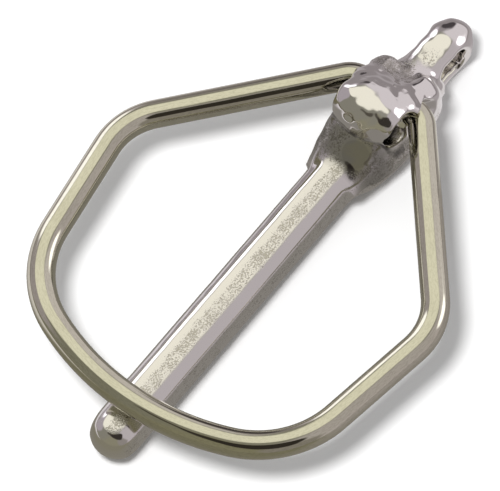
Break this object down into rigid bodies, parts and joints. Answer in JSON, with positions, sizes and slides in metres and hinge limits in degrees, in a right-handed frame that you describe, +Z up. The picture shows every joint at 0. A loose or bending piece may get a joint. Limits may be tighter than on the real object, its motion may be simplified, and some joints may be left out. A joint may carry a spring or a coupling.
{
  "type": "hitch pin lock",
  "caption": "Cast locking pin with a faceted shank, a raised cross-drilled head and a lifting eye, and a sprung wire ring that folds over the tip.",
  "frame": {"origin": "on the table under the ring's hinge line, in the pin's upright middle plane", "axes": "+X along the pin from the tip to the eye, +Y along the hinge line, +Z up"},
  "size_m": [0.0945, 0.0638, 0.0175],
  "materials": {
    "cast_steel": "polished casting",
    "spring_wire": "bright drawn wire"
  },
  "bodies": {
    "pin": {"pin_body": "cast_steel"},
    "ring": {"ring": "spring_wire"}
  },
  "joints": [
    {"name": "ring_hinge", "type": "hinge", "parent": "pin", "child": "ring", "pos_m": [0, 0, 0.01065], "axis": [0, 1, 0], "range_deg": [0, 180]}
  ]
}
